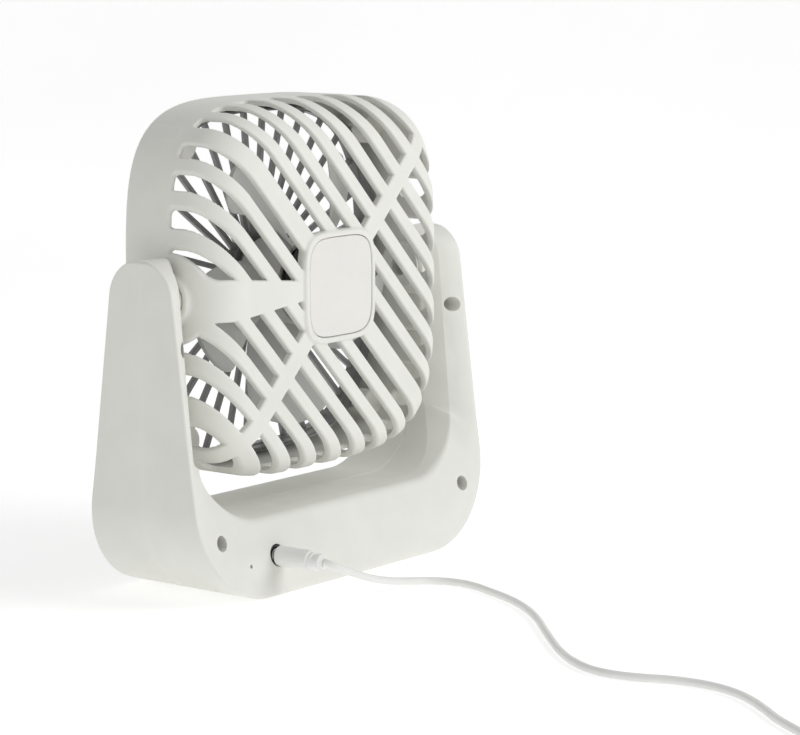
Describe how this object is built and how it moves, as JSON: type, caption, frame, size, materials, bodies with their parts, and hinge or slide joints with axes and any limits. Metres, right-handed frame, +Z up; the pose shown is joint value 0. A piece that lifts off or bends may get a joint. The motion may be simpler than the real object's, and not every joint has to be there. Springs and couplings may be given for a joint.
{
  "type": "desk fan",
  "caption": "Small rechargeable desk fan: a rounded-square head with diagonal rear slats tilts in a U-shaped stand, with a plug-in USB cable.",
  "frame": {"origin": "on the table under the middle of the stand, at the bottom of the rubber feet", "axes": "+Z up, -Y the way the air blows (front, with the speed button), +Y the slatted rear with the charging socket, X along the tilt axis"},
  "size_m": [0.204, 0.373, 0.1875],
  "materials": {
    "housing": "fine matte moulded, warm light grey",
    "badge": "satin",
    "blade": "satin",
    "grille": "matte mid grey",
    "black_plastic": "matte",
    "cable": "soft satin jacket",
    "rubber": "matte",
    "board": "solder mask",
    "cell_sleeve": "shrink sleeve",
    "clear_plastic": "clear",
    "wire": "insulation",
    "steel": "zinc plated",
    "brass": "turned"
  },
  "bodies": {
    "stand": {"stand_rear_shell": "housing", "stand_front_shell": "housing", "foot_left_rear": "rubber", "foot_left_front": "rubber", "foot_right_rear": "rubber", "foot_right_front": "rubber", "stand_screw_left_high": "steel", "stand_screw_left_low": "steel", "stand_screw_right_high": "steel", "stand_screw_right_low": "steel", "tact_switch": "black_plastic", "control_board": "board", "charge_board": "board", "dc_jack": "black_plastic", "led_light_guide": "clear_plastic", "battery_cell": "cell_sleeve", "battery_cradle": "black_plastic", "battery_lead": "wire", "control_lead": "wire", "stand_motor_lead": "wire", "left_friction_washer": "black_plastic", "right_friction_washer": "black_plastic", "dc_plug_pin": "steel", "dc_plug_body": "cable", "cable_run": "cable", "cable_coil": "cable", "coil_tie": "black_plastic", "cable_tail": "cable", "usb_plug_body": "cable", "usb_plug_shell": "steel"},
    "button": {"speed_button": "housing"},
    "head": {"rear_housing": "housing", "rear_badge": "badge", "front_bezel": "housing", "bezel_screw_left_top": "steel", "bezel_screw_left_bottom": "steel", "bezel_screw_right_top": "steel", "bezel_screw_right_bottom": "steel", "front_grille": "grille", "front_cap": "housing", "motor_bracket": "black_plastic", "motor_can": "steel", "motor_screw_left": "steel", "motor_screw_right": "steel", "head_motor_lead": "wire", "left_pivot": "housing", "right_pivot": "housing", "left_pivot_retainer": "steel", "right_pivot_retainer": "steel"},
    "fan": {"impeller": "blade", "impeller_bush": "brass", "motor_shaft": "steel"}
  },
  "joints": [
    {"name": "head_tilt", "type": "hinge", "parent": "stand", "child": "head", "pos_m": [0, 0, 0.1145], "axis": [1, 0, 0], "range_deg": [-90, 90]},
    {"name": "impeller_spin", "type": "hinge", "parent": "head", "child": "fan", "pos_m": [0, 0, 0.1145], "axis": [0, 1, 0], "continuous": true},
    {"name": "speed_button_press", "type": "slide", "parent": "stand", "child": "button", "axis": [0, 1, 0], "range_m": [0, 0.0008], "stiffness_N_per_m": 800}
  ]
}
